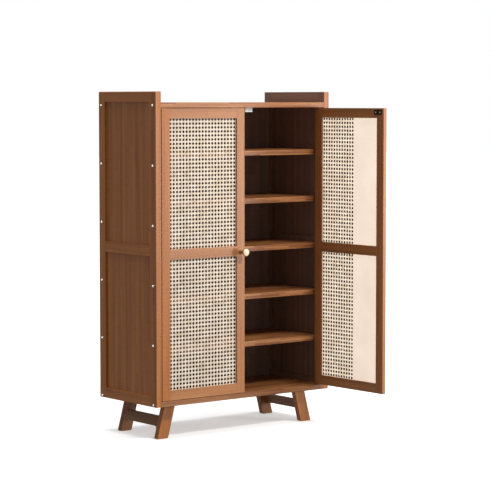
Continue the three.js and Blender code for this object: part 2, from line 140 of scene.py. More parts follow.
class Graph:
    """A material's node tree, built one call at a time."""

    def __init__(self, name):
        self.material = bpy.data.materials.new(name)
        self.material.use_nodes = True
        self.tree = self.material.node_tree
        self.tree.nodes.clear()

    def add(self, kind, inputs=None, **settings):
        node = self.tree.nodes.new(kind)
        for key, value in settings.items():
            setattr(node, key, value)
        for key, value in (inputs or {}).items():
            self.put(node.inputs[key], value)
        return node

    def put(self, socket, value):
        if isinstance(value, bpy.types.NodeSocket):
            self.tree.links.new(value, socket)
        else:
            socket.default_value = value

    def math(self, operation, *values):
        node = self.add("ShaderNodeMath", operation=operation)
        for socket, value in zip(node.inputs, values):
            self.put(socket, value)
        return node.outputs[0]

    def mix(self, factor, first, second, blend="MIX"):
        node = self.add("ShaderNodeMix", data_type="RGBA", blend_type=blend)
        self.put(node.inputs["Factor"], factor)
        self.put(node.inputs[6], first)
        self.put(node.inputs[7], second)
        return node.outputs[2]

    def vector(self, x, y, z):
        return self.add("ShaderNodeCombineXYZ", {"X": x, "Y": y, "Z": z}).outputs[0]

    def noise(self, vector, scale, detail=2.0, roughness=0.5):
        inputs = {"Vector": vector, "Scale": scale, "Detail": detail, "Roughness": roughness}
        return self.add("ShaderNodeTexNoise", inputs).outputs["Fac"]

    def ramp(self, factor, stops):
        node = self.add("ShaderNodeValToRGB", {"Fac": factor})
        elements = node.color_ramp.elements
        while len(elements) < len(stops):
            elements.new(0.5)
        for element, (place, color) in zip(elements, stops):
            element.position = place
            element.color = color
        return node.outputs["Color"]

    def between(self, value, low, high, new_low=0.0, new_high=1.0):
        inputs = {"Value": value, "From Min": low, "From Max": high}
        inputs.update({"To Min": new_low, "To Max": new_high})
        return self.add("ShaderNodeMapRange", inputs, clamp=True).outputs[0]

    def finish(self, surface):
        output = self.add("ShaderNodeOutputMaterial")
        self.tree.links.new(surface, output.inputs["Surface"])
        return self.material


# ---------------------------------------------------------------- the doors' frames

def hinge_place(name):
    return Vector(joints[name]["pos_m"])


RIGHT_HINGE = hinge_place("right_door_hinge")
RIGHT_DOOR_ANGLE = -math.radians(joints["right_door_hinge"]["range_deg"][0])


def door_matrix(side):
    """Takes a point drawn on the closed left door to its place at rest on either door."""
    if side == "left":
        return Matrix.Identity(4)
    mirror = Matrix.Diagonal((-1, 1, 1, 1))
    to_hinge = Matrix.Translation(RIGHT_HINGE)
    turn = Matrix.Rotation(RIGHT_DOOR_ANGLE, 4, "Z")
    return to_hinge @ turn @ to_hinge.inverted() @ mirror


# ---------------------------------------------------------------- materials

X, Y, Z = 0, 1, 2
WARM_TONES = (linear(148, 88, 47), linear(180, 116, 66), linear(204, 142, 90))
ORANGE_TONES = (linear(146, 82, 34), linear(184, 110, 48), linear(208, 138, 72))
# Painted shade: greyer tones for the faces that look into the cabinet, standing in for its shaded inside.
INSIDE_SHADE_TONES = (linear(116, 90, 74), linear(142, 114, 98), linear(162, 136, 118))
GLUE_LINE = linear(78, 40, 20)
TONE_STOPS = (0.12, 0.5, 0.9)

SEED_SPREAD = 37.0  # how far apart two pieces' random patterns start
FACING_LIMIT = 0.7  # a face faces an axis when its normal has at least this part along it
FIRST_STRIP_SHARE = 0.31
JOINT_STAGGER = 9.0  # in segments
LINE_CORE = 0.10 * MM
STRIP_LINE_END = 0.45 * MM
JOINT_LINE_END = 0.40 * MM
FIBRE_SCALE_ALONG = 9.0
FIBRE_SCALE_ACROSS = 700.0
STREAK_SCALE_ALONG = 1.4
STREAK_SCALE_ACROSS = 46.0
KNOT_SPACING = 0.21
KNOT_BAND_SHARE = 0.012
KNOT_DARKNESS = 0.22

WIDE_STRIP = 20 * MM
NARROW_STRIP = 16 * MM
DOOR_STRIP = 18 * MM
SIDE_STRIP = 19 * MM
BOARD_LAYER = 6.4 * MM
FRAME_LAYER = 7.5 * MM
BOARD_SEGMENT = 0.12


def piece_space(graph, turned):
    """Object coordinates and normal, turned back to the closed door for the right door."""
    texture = graph.add("ShaderNodeTexCoord")
    place, normal = texture.outputs["Object"], texture.outputs["Normal"]
    if turned:
        place = graph.add(
            "ShaderNodeVectorRotate",
            {"Vector": place, "Center": RIGHT_HINGE, "Angle": -RIGHT_DOOR_ANGLE},
            rotation_type="Z_AXIS",
        ).outputs[0]
        normal = graph.add(
            "ShaderNodeVectorRotate",
            {"Vector": normal, "Angle": -RIGHT_DOOR_ANGLE},
            rotation_type="Z_AXIS",
        ).outputs[0]
    places = graph.add("ShaderNodeSeparateXYZ", {"Vector": place}).outputs
    normals = graph.add("ShaderNodeSeparateXYZ", {"Vector": normal}).outputs
    return places, normals


def near_edge(graph, share, size):
    """Distance from a place to the nearer end of its strip, for its share of the strip's size."""
    nearer = graph.math("MINIMUM", share, graph.math("SUBTRACT", 1.0, share))
    return graph.math("MULTIPLY", nearer, size)


def centred(graph, value, reach):
    """A 0 to 1 value moved to stand about zero, and scaled."""
    return graph.math("MULTIPLY", graph.math("SUBTRACT", value, 0.5), reach)


def bamboo(name, grain, across, strip, layer, segment, turned=False, contrast=1.0, painted_light_factor=1.0,
           tones=WARM_TONES, inside_shade_axis=None):
    """Lacquered bamboo glued up from strips that run along one axis.

    grain and across are axis numbers, strip is a strip's width along across, layer its
    thickness along the third axis, and segment the length between its joints.
    """
    graph = Graph(name)
    places, normals = piece_space(graph, turned)
    third = 3 - grain - across
    along = places[grain]
    seed = graph.math("MULTIPLY", graph.add("ShaderNodeObjectInfo").outputs["Random"], SEED_SPREAD)

    lines = []
    indices = []
    for axis, size in ((across, strip), (third, layer)):
        facing = graph.math("ABSOLUTE", normals[axis])
        open_face = graph.math("LESS_THAN", facing, FACING_LIMIT)
        steps = graph.math("ADD", graph.math("DIVIDE", places[axis], size), FIRST_STRIP_SHARE)
        index = graph.math("MULTIPLY", graph.math("FLOOR", steps), open_face)
        flipped = graph.math("MULTIPLY", graph.math("SIGN", normals[axis]), 3.0)
        closed_face = graph.math("SUBTRACT", 1.0, open_face)
        indices.append(graph.math("ADD", index, graph.math("MULTIPLY", flipped, closed_face)))
        from_edge = near_edge(graph, graph.math("FRACT", steps), size)
        line = graph.between(from_edge, LINE_CORE, STRIP_LINE_END, 1.0, 0.0)
        lines.append(graph.math("MULTIPLY", line, open_face))

    strip_id = graph.vector(indices[0], indices[1], seed)
    strip_random = graph.add("ShaderNodeTexWhiteNoise", {"Vector": strip_id}).outputs["Value"]
    stagger = graph.math("MULTIPLY", strip_random, JOINT_STAGGER)
    steps = graph.math("ADD", graph.math("DIVIDE", along, segment), stagger)
    segment_id = graph.vector(graph.math("FLOOR", steps), indices[0], graph.math("ADD", indices[1], seed))
    segment_random = graph.add("ShaderNodeTexWhiteNoise", {"Vector": segment_id}).outputs["Value"]
    from_joint = near_edge(graph, graph.math("FRACT", steps), segment)
    joint_line = graph.between(from_joint, LINE_CORE, JOINT_LINE_END, 0.5, 0.0)

    # Fibres run the length of a strip, and a faint band crosses it where the bamboo had a node.
    fibre_shift = graph.math("MULTIPLY", segment_random, 11.0)
    fibre_place = graph.vector(
        graph.math("ADD", graph.math("MULTIPLY", along, FIBRE_SCALE_ALONG), fibre_shift),
        graph.math("MULTIPLY", places[across], FIBRE_SCALE_ACROSS),
        graph.math("MULTIPLY", places[third], FIBRE_SCALE_ACROSS),
    )
    fibre = graph.noise(fibre_place, 1.0, detail=3.0, roughness=0.6)
    streak_place = graph.vector(
        graph.math("MULTIPLY", along, STREAK_SCALE_ALONG),
        graph.math("MULTIPLY", places[across], STREAK_SCALE_ACROSS),
        graph.math("ADD", graph.math("MULTIPLY", places[third], STREAK_SCALE_ACROSS), seed),
    )
    streak = graph.noise(streak_place, 1.0, detail=2.0)
    knot_shift = graph.math("MULTIPLY", segment_random, 5.0)
    knot_steps = graph.math("ADD", graph.math("DIVIDE", along, KNOT_SPACING), knot_shift)
    knot = graph.math("ABSOLUTE", graph.math("SUBTRACT", graph.math("FRACT", knot_steps), 0.5))
    knot_band = graph.between(knot, 0.0, KNOT_BAND_SHARE, KNOT_DARKNESS, 0.0)

    tone = centred(graph, strip_random, 0.34 * contrast)
    tone = graph.math("ADD", tone, centred(graph, segment_random, 0.42 * contrast))
    tone = graph.math("ADD", tone, centred(graph, fibre, 0.55))
    tone = graph.math("ADD", tone, centred(graph, streak, 0.75))
    tone = graph.math("SUBTRACT", graph.math("ADD", tone, 0.5), knot_band)
    # Painted light: the factor lightens the tones above 1, and below 1 darkens them as painted shade.
    painted_light_tones = [tuple(c * painted_light_factor for c in color[:3]) + (1.0,) for color in tones]
    color = graph.ramp(tone, list(zip(TONE_STOPS, painted_light_tones)))
    # Painted shade: faces that look into the cabinet along this axis take the greyer inside tones.
    if inside_shade_axis is not None:
        side_of_cabinet = graph.math("SIGN", places[inside_shade_axis])
        inward = graph.math("MULTIPLY", normals[inside_shade_axis], side_of_cabinet)
        inside_shade = graph.ramp(tone, list(zip(TONE_STOPS, INSIDE_SHADE_TONES)))
        color = graph.mix(graph.between(inward, -0.5, -0.7), color, inside_shade)
    line = graph.math("MAXIMUM", graph.math("MAXIMUM", lines[0], lines[1]), joint_line)
    color = graph.mix(graph.math("MULTIPLY", line, 0.55), color, GLUE_LINE)

    height = graph.math("SUBTRACT", graph.math("MULTIPLY", fibre, 0.12), line)
    bump = graph.add("ShaderNodeBump", {"Strength": 0.35, "Distance": 0.15 * MM, "Height": height})
    roughness = graph.between(fibre, 0.3, 0.7, 0.34, 0.5)
    shader = graph.add("ShaderNodeBsdfPrincipled", {
        "Base Color": color,
        "Roughness": roughness,
        "Normal": bump.outputs[0],
        "Coat Weight": 0.2,
        "Coat Roughness": 0.28,
    })
    return graph.finish(shader.outputs[0])


def cane_material(name, turned=False):
    """Split cane: a pale skin with fine specks and darker patches."""
    graph = Graph(name)
    places, _ = piece_space(graph, turned)
    patch = graph.noise(graph.vector(*[places[i] for i in range(3)]), 38.0, detail=3.0)
    speck = graph.noise(graph.vector(*[places[i] for i in range(3)]), 900.0, detail=2.0)
    tone = graph.math("ADD", graph.math("MULTIPLY", patch, 0.7), graph.math("MULTIPLY", speck, 0.3))
    stops = [(0.3, linear(222, 200, 172)), (0.5, linear(242, 224, 202)), (0.7, linear(250, 238, 221))]
    color = graph.ramp(tone, stops)
    bump = graph.add("ShaderNodeBump", {"Strength": 0.3, "Distance": 0.1 * MM, "Height": speck})
    shader = graph.add("ShaderNodeBsdfPrincipled", {
        "Base Color": color,
        "Roughness": graph.between(speck, 0.3, 0.7, 0.35, 0.55),
        "Normal": bump.outputs[0],
    })
    return graph.finish(shader.outputs[0])


def hole_shade_material():
    """Painted shade: a dark woven sheet, which lies between the two faces of the cane so that the holes
    look shaded.
    """
    graph = Graph("dark_cloth")
    places, _ = piece_space(graph, True)
    threads = []
    for axis in (X, Z):
        turns = graph.math("MULTIPLY", places[axis], math.pi / HOLE_SHADE_THREAD_SPACING)
        threads.append(graph.math("ABSOLUTE", graph.math("SINE", turns)))
    weave = graph.math("MULTIPLY", threads[0], threads[1])
    color = graph.mix(weave, linear(38, 28, 22), linear(74, 56, 44))
    bump = graph.add("ShaderNodeBump", {"Strength": 0.4, "Distance": 0.1 * MM, "Height": weave})
    shader = graph.add("ShaderNodeBsdfPrincipled", {
        "Base Color": color,
        "Roughness": 0.9,
        "Normal": bump.outputs[0],
    })
    return graph.finish(shader.outputs[0])


def liner_material():
    """Thin opaque cream sheet, faintly clouded."""
    graph = Graph("liner_sheet")
    places, _ = piece_space(graph, True)
    place = graph.vector(*[places[i] for i in range(3)])
    cloud = graph.noise(place, 9.0, detail=2.0)
    grain = graph.noise(place, 1400.0, detail=1.0)
    color = graph.ramp(cloud, [(0.3, linear(214, 197, 181)), (0.7, linear(222, 206, 191))])
    bump = graph.add("ShaderNodeBump", {"Strength": 0.15, "Distance": 0.05 * MM, "Height": grain})
    shader = graph.add("ShaderNodeBsdfPrincipled", {
        "Base Color": color,
        "Roughness": graph.between(grain, 0.3, 0.7, 0.5, 0.65),
        "Normal": bump.outputs[0],
    })
    return graph.finish(shader.outputs[0])


def turned_wood():
    """Lacquered wood of the knob, its fibres running along the knob."""
    graph = Graph("turned_wood")
    places, _ = piece_space(graph, False)
    grain_place = graph.vector(
        graph.math("MULTIPLY", places[0], 260.0),
        graph.math("MULTIPLY", places[1], 60.0),
        graph.math("MULTIPLY", places[2], 520.0),
    )
    fibre = graph.noise(grain_place, 1.0, detail=4.0, roughness=0.6)
    stops = [(0.3, linear(136, 80, 36)), (0.55, linear(182, 116, 58)), (0.75, linear(206, 144, 84))]
    color = graph.ramp(fibre, stops)
    bump = graph.add("ShaderNodeBump", {"Strength": 0.2, "Distance": 0.1 * MM, "Height": fibre})
    shader = graph.add("ShaderNodeBsdfPrincipled", {
        "Base Color": color,
        "Roughness": graph.between(fibre, 0.3, 0.7, 0.3, 0.45),
        "Normal": bump.outputs[0],
        "Coat Weight": 0.3,
        "Coat Roughness": 0.2,
    })
    return graph.finish(shader.outputs[0])


def moulded(name, low, high, roughness):
    """Moulded plastic with a fine texture and a slight mottle."""
    graph = Graph(name)
    places, _ = piece_space(graph, False)
    place = graph.vector(*[places[i] for i in range(3)])
    mottle = graph.noise(place, 120.0, detail=3.0)
    grain = graph.noise(place, 2400.0, detail=2.0)
    color = graph.ramp(mottle, [(0.3, low), (0.7, high)])
    bump = graph.add("ShaderNodeBump", {"Strength": 0.2, "Distance": 0.05 * MM, "Height": grain})
    shader = graph.add("ShaderNodeBsdfPrincipled", {
        "Base Color": color,
        "Roughness": graph.between(grain, 0.3, 0.7, roughness, roughness + 0.12),
        "Normal": bump.outputs[0],
    })
    return graph.finish(shader.outputs[0])


def plated_steel(name, low, high, stretch, roughness, metallic=1.0):
    """Plated steel with fine marks. stretch is how close they lie along each axis."""
    graph = Graph(name)
    places, _ = piece_space(graph, False)
    brushed = graph.vector(*[graph.math("MULTIPLY", places[i], stretch[i]) for i in range(3)])
    marks = graph.noise(brushed, 1.0, detail=3.0)
    color = graph.ramp(marks, [(0.3, low), (0.7, high)])
    bump = graph.add("ShaderNodeBump", {"Strength": 0.15, "Distance": 0.03 * MM, "Height": marks})
    shader = graph.add("ShaderNodeBsdfPrincipled", {
        "Base Color": color,
        "Metallic": metallic,
        "Roughness": graph.between(marks, 0.3, 0.7, roughness, roughness + 0.15),
        "Normal": bump.outputs[0],
    })
    return graph.finish(shader.outputs[0])


# The sides' inner faces take the painted shade of the inside.
side_look = {"contrast": 0.4, "tones": ORANGE_TONES, "inside_shade_axis": X}
side_stile_bamboo = bamboo("side_stile_bamboo", Z, Y, SIDE_STRIP, FRAME_LAYER, 0.62, **side_look)
side_rail_bamboo = bamboo("side_rail_bamboo", Y, Z, SIDE_STRIP, FRAME_LAYER, 0.31, **side_look)
side_panel_bamboo = bamboo("side_panel_bamboo", Z, Y, NARROW_STRIP, 8 * MM, 0.55, **side_look)
board_strips = (X, Y, WIDE_STRIP, BOARD_LAYER, BOARD_SEGMENT)
# Painted light: the top board's tones are lightened. Painted shade: the shelves' are darkened, and the
# bottom board's more.
board_bamboo = bamboo("board_bamboo", *board_strips, contrast=1.0, painted_light_factor=1.12)
shelf_bamboo = bamboo("shelf_bamboo", *board_strips, contrast=1.4, painted_light_factor=0.93)
bottom_bamboo = bamboo("bottom_bamboo", *board_strips, contrast=1.0, painted_light_factor=0.78)
# The back panel's inner face takes the painted shade of the inside.
back_bamboo = bamboo("back_bamboo", Z, X, 24 * MM, 6 * MM, 0.7, contrast=0.6, inside_shade_axis=Y)
leg_strips = (Z, X, NARROW_STRIP, 7.4 * MM, 0.4)
front_leg_bamboo = bamboo("front_leg_bamboo", *leg_strips, contrast=0.6, tones=ORANGE_TONES)
# Painted shade: the rear legs and the stretchers are darkened against the front legs.
rear_leg_bamboo = bamboo("rear_leg_bamboo", *leg_strips, contrast=0.6, painted_light_factor=0.6, tones=ORANGE_TONES)
stretcher_bamboo = bamboo("stretcher_bamboo", Y, Z, 17 * MM, 6.7 * MM, 0.3, contrast=0.6, painted_light_factor=0.55)


def door_material(side, part, grain, across, segment, tones=WARM_TONES):
    """Bamboo of one part of a door. The right door's is drawn as if the door were closed."""
    name = f"{side}_door_{part}_bamboo"
    strips = (grain, across, DOOR_STRIP, FRAME_LAYER, segment)
    return bamboo(name, *strips, turned=side == "right", contrast=0.25, tones=tones)


door_bamboo = {}
# Painted light: the left door's hinge stile takes the deeper orange tones, standing in for the sheen that
# pales the rest of the front but not it.
for side, hinge_tones in (("left", ORANGE_TONES), ("right", WARM_TONES)):
    door_bamboo[side] = {
        "hinge_stile": door_material(side, "hinge_stile", Z, X, 0.58, hinge_tones),
        "stile": door_material(side, "stile", Z, X, 0.58),
        "rail": door_material(side, "rail", X, Z, 0.29),
    }
left_cane = cane_material("left_cane")
right_cane = cane_material("right_cane", True)
# Painted shade: the dark sheet that makes the right door's holes look shaded.
dark_cloth = hole_shade_material()
liner_sheet = liner_material()
knob_wood = turned_wood()
knob_ivory = moulded("knob_ivory", linear(246, 228, 190), linear(255, 242, 214), 0.22)
catch_plastic = moulded("catch_plastic", linear(236, 234, 228), linear(250, 249, 245), 0.4)
turned_marks = (60, 60, 2200)
even_marks = (900, 900, 900)
steel = plated_steel("steel", linear(176, 178, 180), linear(216, 217, 218), turned_marks, 0.25)
bolt_tones = (linear(226, 222, 216), linear(250, 247, 242))
bolt_steel = plated_steel("bolt_steel", *bolt_tones, even_marks, 0.3, metallic=0.4)
dark_plate = plated_steel("dark_plate", linear(38, 34, 32), linear(66, 60, 56), even_marks, 0.4)


# ---------------------------------------------------------------- CAD nodes

def soften(node, width):
    """Rounds the edges of a carried-over node without touching its mesh."""
    weld = node.modifiers.new("weld", "WELD")
    weld.merge_threshold = WELD_DISTANCE
    bevel = node.modifiers.new("edges", "BEVEL")
    bevel.width = width
    bevel.segments = 2
    bevel.limit_method = "ANGLE"
    bevel.angle_limit = math.radians(50)
    bevel.use_clamp_overlap = True
    normals = node.modifiers.new("normals", "WEIGHTED_NORMAL")
    normals.weight = 100


def dress(name, material, width=EDGE_ROUNDING):
    """Gives a carried-over node its material and, where width isn't None, rounded edges."""
    node = frame["nodes"][name]
    node.data.materials.clear()
    node.data.materials.append(material)
    for polygon in node.data.polygons:
        polygon.material_index = 0
    if width:
        soften(node, width)


for side in ("left", "right"):
    dress(f"{side}_side_front_stile", side_stile_bamboo)
    dress(f"{side}_side_rear_stile", side_stile_bamboo)
    for rail in ("bottom_rail", "mid_rail", "top_rail"):
        dress(f"{side}_side_{rail}", side_rail_bamboo)
        dress(f"{side}_door_{rail}", door_bamboo[side]["rail"], DOOR_EDGE_ROUNDING)
    for panel in ("lower_panel", "upper_panel"):
        dress(f"{side}_side_{panel}", side_panel_bamboo, PANEL_EDGE_ROUNDING)
    dress(f"{side}_door_hinge_stile", door_bamboo[side]["hinge_stile"], DOOR_EDGE_ROUNDING)
    dress(f"{side}_door_free_stile", door_bamboo[side]["stile"], DOOR_EDGE_ROUNDING)
    for pin in ("bottom_pin", "top_pin"):
        dress(f"{side}_door_{pin}", steel, PANEL_EDGE_ROUNDING)
    dress(f"{side}_door_strike", dark_plate, PANEL_EDGE_ROUNDING)
    dress(f"{side}_catch", catch_plastic, EDGE_ROUNDING)
    dress(f"{side}_leg_stretcher", stretcher_bamboo)
    for end, leg_bamboo in (("front", front_leg_bamboo), ("rear", rear_leg_bamboo)):
        dress(f"{side}_{end}_leg", leg_bamboo)
        dress(f"{side}_{end}_leg_stud", steel, None)
for name in frame["nodes"]:
    if name.startswith("shelf_"):
        dress(name, shelf_bamboo)
dress("bottom_board", bottom_bamboo)
dress("top_board", board_bamboo)
dress("back_panel", back_bamboo, PANEL_EDGE_ROUNDING)
for panel in ("lower", "upper"):
    dress(f"right_door_{panel}_liner", liner_sheet, None)
dress("left_door_knob_screw", steel, None)


# ---------------------------------------------------------------- mesh helpers

def make_piece(name, vertices, faces, material, body, slot, smooth=False):
    """A new visual piece with one material, which rides a body. slot is not used."""
    mesh = bpy.data.meshes.new(name)
    mesh.from_pydata([tuple(v) for v in vertices], [], faces)
    mesh.materials.append(material)
    mesh.validate()
    if smooth:
        for polygon in mesh.polygons:
            polygon.use_smooth = True
    mesh.update()
    piece = bpy.data.objects.new(name, mesh)
    bpy.context.scene.collection.objects.link(piece)
    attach(piece, body)
    return piece


def moved(vertices, faces, matrix):
    """The same mesh after a matrix, with its faces still outward if the matrix mirrors."""
    vertices = [matrix @ Vector(v) for v in vertices]
    if matrix.determinant() < 0:
        faces = [tuple(reversed(face)) for face in faces]
    return vertices, faces


def box_mesh(low, high):
    corners = [(x, y, z) for z in (low.z, high.z) for y in (low.y, high.y) for x in (low.x, high.x)]
    faces = [(0, 2, 3, 1), (4, 5, 7, 6), (0, 1, 5, 4), (2, 6, 7, 3), (0, 4, 6, 2), (1, 3, 7, 5)]
    return corners, faces


def turned_mesh(profile, segments):
    """Vertices and faces of a profile of (radius, height) turned about +Z, lowest point first.

    The profile starts and ends on the axis.
    """
    vertices = [(0, 0, profile[0][1])]
    for radius, height in profile[1:-1]:
        for k in range(segments):
            angle = 2 * math.pi * k / segments
            vertices.append((radius * math.cos(angle), radius * math.sin(angle), height))
    vertices.append((0, 0, profile[-1][1]))
    faces = []
    rings = len(profile) - 2
    last = len(vertices) - 1
    for k in range(segments):
        after = (k + 1) % segments
        faces.append((0, 1 + after, 1 + k))
        for ring in range(rings - 1):
            low, high = 1 + ring * segments, 1 + (ring + 1) * segments
            faces.append((low + k, low + after, high + after, high + k))
        top = 1 + (rings - 1) * segments
        faces.append((top + k, top + after, last))
    return vertices, faces


# ---------------------------------------------------------------- woven cane

def ribbon(path, sideways, width, vertices, faces):
    """Adds a closed flat strand along path to the lists. Depth is the third coordinate."""
    start = len(vertices)
    half_width, half_thickness = width / 2, STRAND_THICKNESS / 2
    for u, v, depth in path:
        for side, rise in ((-1, -1), (1, -1), (1, 1), (-1, 1)):
            vertices.append((
                u + side * sideways[0] * half_width,
                v + side * sideways[1] * half_width,
                depth + rise * half_thickness,
            ))
    for step in range(len(path) - 1):
        low, high = start + 4 * step, start + 4 * step + 4
        for k in range(4):
            after = (k + 1) % 4
            faces.append((low + k, low + after, high + after, high + k))
    end = start + 4 * (len(path) - 1)
    faces.append((start + 3, start + 2, start + 1, start))
    faces.append((end, end + 1, end + 2, end + 3))


def clipped(path, low, high):
    """The stretch of a polyline of (u, v, depth) that lies inside a rectangle."""
    def inside(point):
        return all(low[i] <= point[i] <= high[i] for i in range(2))
    kept = [point for point in path if inside(point)]
    if len(kept) < 2:
        return []
    first = path.index(kept[0])
    last = path.index(kept[-1])
    ends = []
    for near, beyond in ((first, first - 1), (last, last + 1)):
        if not 0 <= beyond < len(path):
            ends.append(None)
            continue
        a, b = path[near], path[beyond]
        share = 1.0
        for i in range(2):
            if b[i] > high[i]:
                share = min(share, (high[i] - a[i]) / (b[i] - a[i]))
            if b[i] < low[i]:
                share = min(share, (low[i] - a[i]) / (b[i] - a[i]))
        cut_point = tuple(a[i] + share * (b[i] - a[i]) for i in range(3))
        ends.append(cut_point if share > SHORTEST_STEP_SHARE else None)
    before = [ends[0]] if ends[0] else []
    after = [ends[1]] if ends[1] else []
    return before + kept + after


def pair_place(pair, pitch):
    """Where a pair of strands stands. A hole is centred on the panel, so pairs are half a pitch off."""
    return (pair + 0.5) * pitch


def weave_panel(width, height, pitch):
    """An octagonal cane weave centred on the origin, in (u, v, depth).

    Pairs of upright and level strands weave over and under one another, and single
    diagonals pass between the holes, over one pair and under the next.
    """
    vertices, faces = [], []
    half = (width / 2, height / 2)
    low, high = (-half[0], -half[1]), half
    counts = [math.ceil(h / pitch) + 1 for h in half]

    # Upright strands (axis 0) and level ones (axis 1). Pairs stand between the hole centres.
    for axis in (0, 1):
        sideways = (1, 0) if axis == 0 else (0, 1)
        for pair in range(-counts[axis], counts[axis] + 1):
            for member in (0, 1):
                place = pair_place(pair, pitch) + (2 * member - 1) * PAIR_OFFSET
                if abs(place) > half[axis] - STRAND_WIDTH / 2:
                    continue
                path = []
                for crossing in range(-counts[1 - axis], counts[1 - axis] + 1):
                    middle = pair_place(crossing, pitch)
                    for other in (0, 1):
                        over = 1 if (pair + crossing + member + other + axis) % 2 else -1
                        path.append((middle + (2 * other - 1) * PAIR_OFFSET, over * WEAVE_RISE))
                    path.append((middle + pitch / 2, 0.0))
                if axis == 0:
                    points = [(place, along, depth) for along, depth in path]
                else:
                    points = [(along, place, depth) for along, depth in path]
                points = clipped(points, low, high)
                if points:
                    ribbon(points, sideways, STRAND_WIDTH, vertices, faces)

    # Diagonals cross an upright pair, then a level pair, half a pitch apart.
    reach = counts[0] + counts[1] + 2
    for direction in (1, -1):
        sideways = (direction / math.sqrt(2), -1 / math.sqrt(2))
        for line in range(-reach, reach + 1):
            path = []
            for step in range(-2 * counts[0] - 1, 2 * counts[0] + 2):
                u = pair_place(0, pitch) + step * pitch / 2
                v = pair_place(line + 0.5, pitch) + direction * step * pitch / 2
                over = direction if step % 2 == 0 else -direction
                for shift in (-PAIR_OFFSET, PAIR_OFFSET):
                    path.append((u + shift, v + direction * shift, over * DIAGONAL_RISE))
            points = clipped(path, low, high)
            if points:
                ribbon(points, sideways, DIAGONAL_WIDTH, vertices, faces)
    return vertices, faces


right_panels = [frame["nodes"][f"right_door_{panel}_liner"] for panel in ("lower", "upper")]
cane_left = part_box("left_door_hinge_stile")[1].x
cane_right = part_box("left_door_free_stile")[0].x
cane_pitch = (cane_right - cane_left) / CANE_COLUMNS

for panel in ("lower", "upper"):
    low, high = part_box(f"left_door_{panel}_cane")
    centre = (low + high) / 2
    vertices, faces = weave_panel(high.x - low.x, high.z - low.z, cane_pitch)
    # Takes (u, v, depth) to (x, z, y) about the panel's centre.
    standing = Matrix((
        (1, 0, 0, centre.x),
        (0, 0, 1, centre.y),
        (0, 1, 0, centre.z),
        (0, 0, 0, 1),
    ))
    for side, material in (("left", left_cane), ("right", right_cane)):
        placed = moved(vertices, faces, door_matrix(side) @ standing)
        weave = make_piece(f"{side}_door_{panel}_weave", *placed, material, f"{side}_door", "cane")
        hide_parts(f"{side}_door_{panel}_cane")
        if side == "right":
            right_panels.append(weave)

    # Painted shade: a dark woven sheet lies within the right door's cane, from the hinge side to the
    # liner, so that the holes there look shaded.
    hole_shade_end = cane_left + (1 - LINER_SHARE) * (cane_right - cane_left)
    hole_shade_low = Vector((low.x, centre.y - HOLE_SHADE_THICKNESS / 2, low.z))
    hole_shade_high = Vector((hole_shade_end, centre.y + HOLE_SHADE_THICKNESS / 2, high.z))
    placed = moved(*box_mesh(hole_shade_low, hole_shade_high), door_matrix("right"))
    make_piece(f"right_door_{panel}_cloth", *placed, dark_cloth, "right_door", "cane")


# ---------------------------------------------------------------- knob

def outward(place, direction):
    """A matrix that takes +Z to a direction and the origin to a place."""
    turn = Vector(direction).to_track_quat("Z", "Y").to_matrix().to_4x4()
    return Matrix.Translation(place) @ turn


def arc(centre_radius, centre_height, radius, start, end, steps):
    """Profile points along a quarter or less of a circle, with angles in degrees."""
    points = []
    for step in range(steps + 1):
        angle = math.radians(start + (end - start) * step / steps)
        points.append((centre_radius + radius * math.cos(angle), centre_height + radius * math.sin(angle)))
    return points


knob_low, knob_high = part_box("left_door_knob")
face_low, face_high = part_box("left_door_knob_face")
knob_centre = (knob_low + knob_high) / 2
knob_foot = Vector((knob_centre.x, knob_high.y, knob_centre.z))
knob_radius = (knob_high.x - knob_low.x) / 2
knob_seat = knob_high.y - knob_low.y - KNOB_RIM_HEIGHT
face_radius = (face_high.x - face_low.x) / 2
knob_length = knob_high.y - face_low.y

foot_round_centre = KNOB_FOOT_RADIUS - KNOB_FOOT_ROUNDING
knob_profile = [(0, 0), (foot_round_centre, 0)]
knob_profile += arc(foot_round_centre, KNOB_FOOT_ROUNDING, KNOB_FOOT_ROUNDING, -90, 0, 4)[1:]
knob_profile += [(KNOB_FOOT_RADIUS, KNOB_FOOT_HEIGHT), KNOB_WAIST, (KNOB_STEM_RADIUS, KNOB_STEM_START)]
for step in range(1, KNOB_PROFILE_STEPS + 1):
    share = step / KNOB_PROFILE_STEPS
    rise = KNOB_STEM_START + share * (knob_seat - KNOB_STEM_START)
    swell = 0.5 - 0.5 * math.cos(math.pi * share ** KNOB_FLARE_LATENESS)
    knob_profile.append((KNOB_STEM_RADIUS + swell * (knob_radius - KNOB_STEM_RADIUS), rise))
rim_middle = knob_seat + KNOB_RIM_HEIGHT - KNOB_RIM_ROUNDING
knob_profile += arc(knob_radius - KNOB_RIM_ROUNDING, rim_middle, KNOB_RIM_ROUNDING, 0, 90, 5)[1:]
recess_radius = face_radius + KNOB_FACE_GAP
knob_profile += [(recess_radius, knob_seat + KNOB_RIM_HEIGHT), (recess_radius, knob_seat), (0, knob_seat)]

face_seat = knob_seat + FACE_SEAT_GAP
dome_foot = knob_seat + FACE_EDGE_HEIGHT
face_profile = [(0, face_seat), (face_radius, face_seat)]
for step in range(KNOB_PROFILE_STEPS):
    angle = math.pi / 2 * step / KNOB_PROFILE_STEPS
    dome_rise = (knob_length - dome_foot) * math.sin(angle)
    face_profile.append((face_radius * math.cos(angle), dome_foot + dome_rise))
face_profile.append((0, knob_length))

knob_matrix = outward(knob_foot, (0, -1, 0))
knob_mesh = moved(*turned_mesh(knob_profile, KNOB_SEGMENTS), knob_matrix)
knob = make_piece("knob_body", *knob_mesh, knob_wood, "left_door", "turned_wood", True)
face_mesh = moved(*turned_mesh(face_profile, KNOB_SEGMENTS), knob_matrix)
knob_face = make_piece("knob_pale_face", *face_mesh, knob_ivory, "left_door", "ivory_plastic", True)
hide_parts("left_door_knob")
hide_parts("left_door_knob_face")


# ---------------------------------------------------------------- bolts and screws

